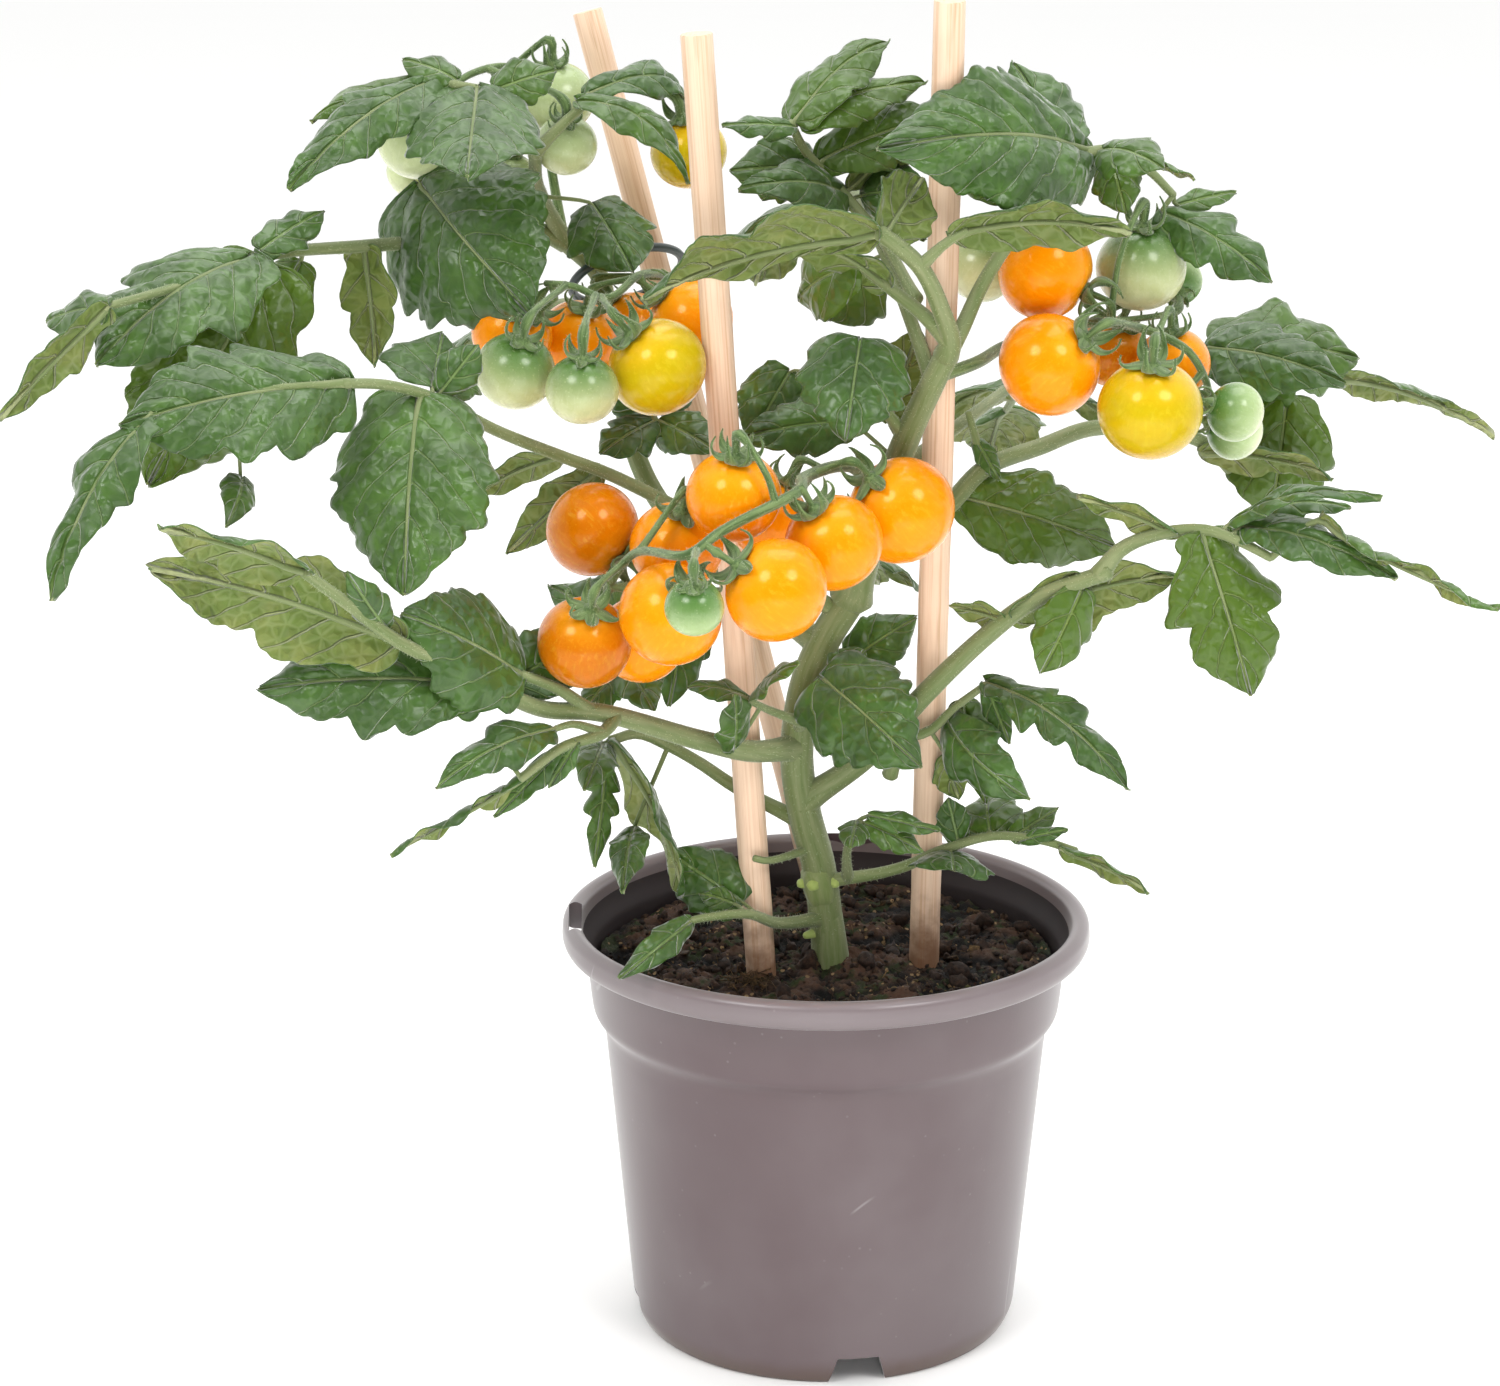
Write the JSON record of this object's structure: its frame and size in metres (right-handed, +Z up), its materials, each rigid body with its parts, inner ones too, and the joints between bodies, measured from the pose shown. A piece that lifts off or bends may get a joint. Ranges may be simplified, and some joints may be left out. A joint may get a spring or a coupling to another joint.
{
  "type": "potted tomato plant",
  "caption": "Cherry tomato plant in a tapered nursery pot, propped by bamboo stakes, with hanging trusses of round fruit and toothed compound leaves.",
  "frame": {"origin": "On the pot's axis at the level of its foot, which is the middle of the whole plant's footprint", "axes": "+Z up the pot's axis, -Y the front, +X to the viewer's right"},
  "size_m": [0.3828, 0.2663, 0.3544],
  "materials": {
    "pot": "satin",
    "soil": "matte",
    "bamboo": "satin",
    "clip": "satin",
    "stem": "matte",
    "leaf": "satin",
    "fruit_orange": "gloss",
    "fruit_amber": "gloss",
    "fruit_yellow": "gloss",
    "fruit_green": "gloss",
    "fruit_pale": "gloss"
  },
  "bodies": {
    "root": {"clip": "clip", "leaf_centre_inner": "leaf", "leaf_centre_top": "leaf", "leaf_crown": "leaf", "leaf_far_left": "leaf", "leaf_hanging": "leaf", "leaf_high_right": "leaf", "leaf_low_left": "leaf", "leaf_low_right": "leaf", "leaf_mid_left": "leaf", "leaf_mid_right": "leaf", "leaf_narrow_right": "leaf", "leaf_over_soil": "leaf", "leaf_top_left": "leaf", "leaf_top_right": "leaf", "pot": "pot", "soil": "soil", "stake_back": "bamboo", "stake_left": "bamboo", "stake_right": "bamboo", "stem": "stem", "tomato_front_1": "fruit_amber", "tomato_front_10": "fruit_amber", "tomato_front_11": "fruit_green", "tomato_front_2": "fruit_orange", "tomato_front_3": "fruit_orange", "tomato_front_4": "fruit_orange", "tomato_front_5": "fruit_orange", "tomato_front_6": "fruit_orange", "tomato_front_7": "fruit_orange", "tomato_front_8": "fruit_orange", "tomato_front_9": "fruit_orange", "tomato_left_1": "fruit_orange", "tomato_left_2": "fruit_green", "tomato_left_3": "fruit_green", "tomato_left_4": "fruit_yellow", "tomato_left_5": "fruit_orange", "tomato_left_6": "fruit_orange", "tomato_left_7": "fruit_orange", "tomato_right_1": "fruit_orange", "tomato_right_10": "fruit_green", "tomato_right_2": "fruit_orange", "tomato_right_3": "fruit_yellow", "tomato_right_4": "fruit_amber", "tomato_right_5": "fruit_orange", "tomato_right_6": "fruit_green", "tomato_right_7": "fruit_green", "tomato_right_8": "fruit_green", "tomato_right_9": "fruit_green", "tomato_top_1": "fruit_pale", "tomato_top_2": "fruit_pale", "tomato_top_3": "fruit_pale", "tomato_top_4": "fruit_pale", "tomato_top_5": "fruit_yellow", "tomato_top_6": "fruit_pale", "truss_front": "stem", "truss_left": "stem", "truss_right": "stem", "truss_top": "stem"}
  },
  "joints": []
}
